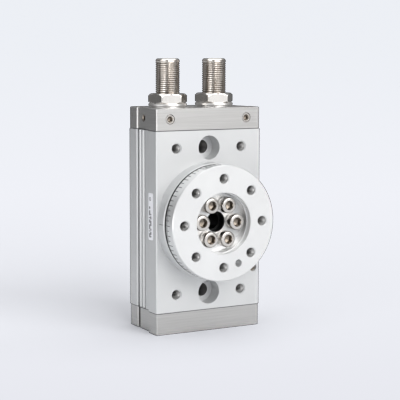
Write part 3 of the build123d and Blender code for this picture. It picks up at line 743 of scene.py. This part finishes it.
# ---------------------------------------------------------------- stage and lights
def make_sheet():
    """Roll of pale paper under and behind the object.

    It catches shadow, and polished metal sees only the near part.
    """
    low = cad_box[0]
    section = [(-1.2, 0), (2.2, 0)]
    section += [(2.2 + 0.8 * sin(pi / 2 * k / 12), 0.8 - 0.8 * cos(pi / 2 * k / 12)) for k in range(1, 13)]
    section.append((3.0, 2.2))
    bm = bmesh.new()
    turn = Matrix.Rotation(-YAW, 3, "Z")
    edges = [[bm.verts.new(turn @ Vector((x, y, low.z + z))) for y, z in section] for x in (-1.8, 1.8)]
    for k in range(len(section) - 1):
        bm.faces.new((edges[0][k], edges[1][k], edges[1][k + 1], edges[0][k + 1]))
    mesh = bpy.data.meshes.new("paper_sheet")
    bm.to_mesh(mesh)
    bm.free()
    mesh.shade_smooth()
    sheet = bpy.data.objects.new("paper_sheet", mesh)
    bpy.context.scene.collection.objects.link(sheet)
    n = Nodes("pale_paper")
    tone = n.noise(3.0, 2.0)
    paper = n.ramp(tone, [(0.3, (0.80, 0.81, 0.83)), (0.7, (0.82, 0.83, 0.85))])
    n.link(paper, n.shader.inputs["Base Color"])
    n.shader.inputs["Roughness"].default_value = 0.9
    ball = n.add("ShaderNodeTexGradient", gradient_type="SPHERICAL")
    n.link(n.place, ball.inputs["Vector"])
    near = n.add("ShaderNodeMapRange", interpolation_type="SMOOTHSTEP")
    near.inputs["From Min"].default_value = 0.1
    near.inputs["From Max"].default_value = 0.6
    n.link(ball.outputs["Fac"], near.inputs["Value"])
    direct = n.add("ShaderNodeMath", operation="SUBTRACT")
    direct.inputs[0].default_value = 1
    n.link(n.add("ShaderNodeLightPath").outputs["Is Glossy Ray"], direct.inputs[1])
    solid = n.add("ShaderNodeMath", operation="MAXIMUM")
    n.link(direct.outputs["Value"], solid.inputs[0])
    n.link(near.outputs["Result"], solid.inputs[1])
    n.link(solid.outputs["Value"], n.shader.inputs["Alpha"])
    mesh.materials.append(n.material)
    sheet.is_shadow_catcher = True


def area_light(name, place, target, size, power, colour=(1, 1, 1)):
    """Soft box that faces its target."""
    data = bpy.data.lights.new(name, "AREA")
    data.shape = "RECTANGLE"
    data.size, data.size_y = size
    data.energy = power
    data.color = colour
    light = bpy.data.objects.new(name, data)
    light.location = place
    light.rotation_mode = "QUATERNION"
    light.rotation_quaternion = (Vector(target) - Vector(place)).to_track_quat("-Z", "Y")
    bpy.context.scene.collection.objects.link(light)


AMBIENT_STRENGTH = 1.0
# brightness of the surroundings by compass angle, in degrees to the right of the front
AMBIENT = (
    (-180, 0.20), (-128, 0.16), (-106, 0.08), (-94, 1.35), (-56, 1.35), (-48, 0.16), (-12, 0.16), (-5, 1.00),
    (36, 0.92), (46, 0.25), (120, 0.16), (180, 0.20),
)
# colour of what the camera sees behind the object, by the sine of the angle above the horizon
BACKDROP = ((-0.27, (0.80, 0.81, 0.865)), (-0.20, (0.835, 0.85, 0.90)), (-0.11, (0.87, 0.885, 0.935)),
            (0.0, (0.845, 0.87, 0.915)), (0.3, (0.83, 0.86, 0.905)))


def make_world():
    """White seen by the camera; for lighting, brighter in front on the right and dimmer behind."""
    world = bpy.data.worlds.new("world")
    bpy.context.scene.world = world
    world.use_nodes = True
    tree = world.node_tree

    def add(kind, **inputs):
        node = tree.nodes.new(kind)
        for key, value in inputs.items():
            node.inputs[key].default_value = value
        return node

    def colours(value, stops):
        ramp = tree.nodes.new("ShaderNodeValToRGB")
        while len(ramp.color_ramp.elements) < len(stops):
            ramp.color_ramp.elements.new(0.5)
        for element, (at, colour) in zip(ramp.color_ramp.elements, stops):
            element.position = at
            element.color = (*colour, 1)
        tree.links.new(value, ramp.inputs["Fac"])
        return ramp.outputs["Color"]

    where = add("ShaderNodeTexCoord")
    apart = add("ShaderNodeSeparateXYZ")
    tree.links.new(where.outputs["Generated"], apart.inputs["Vector"])
    rise = add("ShaderNodeMapRange", **{"From Min": -0.3, "From Max": 0.3})
    tree.links.new(apart.outputs["Z"], rise.inputs["Value"])
    seen = tree.nodes["Background"]
    behind = colours(rise.outputs["Result"], [((at + 0.3) / 0.6, colour) for at, colour in BACKDROP])
    tree.links.new(behind, seen.inputs["Color"])
    front = add("ShaderNodeMath")
    front.operation = "ARCTAN2"
    tree.links.new(apart.outputs["X"], front.inputs[0])
    away = add("ShaderNodeMath")
    away.operation = "MULTIPLY"
    away.inputs[1].default_value = -1
    tree.links.new(apart.outputs["Y"], away.inputs[0])
    tree.links.new(away.outputs["Value"], front.inputs[1])
    turn = add("ShaderNodeMapRange", **{"From Min": -pi, "From Max": pi})
    tree.links.new(front.outputs["Value"], turn.inputs["Value"])
    around = colours(turn.outputs["Result"], [((at + 180) / 360, (level,) * 3) for at, level in AMBIENT])
    high = add("ShaderNodeMapRange", **{"From Min": 0.2, "From Max": 0.5})
    tree.links.new(apart.outputs["Z"], high.inputs["Value"])
    blend = add("ShaderNodeMix")
    blend.data_type = "RGBA"
    tree.links.new(high.outputs["Result"], blend.inputs["Factor"])
    tree.links.new(around, blend.inputs[6])
    blend.inputs[7].default_value = (0.30, 0.31, 0.32, 1)
    lighting = add("ShaderNodeBackground", Strength=AMBIENT_STRENGTH)
    tree.links.new(blend.outputs[2], lighting.inputs["Color"])
    path = add("ShaderNodeLightPath")
    mix = add("ShaderNodeMixShader")
    tree.links.new(path.outputs["Is Camera Ray"], mix.inputs["Fac"])
    tree.links.new(lighting.outputs["Background"], mix.inputs[1])
    tree.links.new(seen.outputs["Background"], mix.inputs[2])
    tree.links.new(mix.outputs["Shader"], tree.nodes["World Output"].inputs["Surface"])


def make_lights():
    """Tall soft boxes in front on the right and at the left, with a dark gap between, and one overhead."""
    area_light("key", (0.14, -1.08, 0.6), (0, 0, 0.03), (1.2, 0.9), 11.9, (1, 0.99, 0.975))
    area_light("left", (-0.36, -0.16, -0.01), (0, 0.03, -0.03), (0.2, 0.09), 0.18)
    area_light("overhead", (0.1, 0.1, 1.0), (0, 0, 0), (1.2, 1.2), 6.0)


make_camera()
dress_cad()
make_absorbers()
make_springs()
make_nuts()
make_table_screws()
make_cap_screws()
make_sleeve()
make_plugs()
make_gaskets()
make_threads()
make_scale()
make_gap_shade_ring()
make_label()
make_sheet()
make_world()
make_lights()
bpy.context.scene.view_settings.view_transform = "Standard"
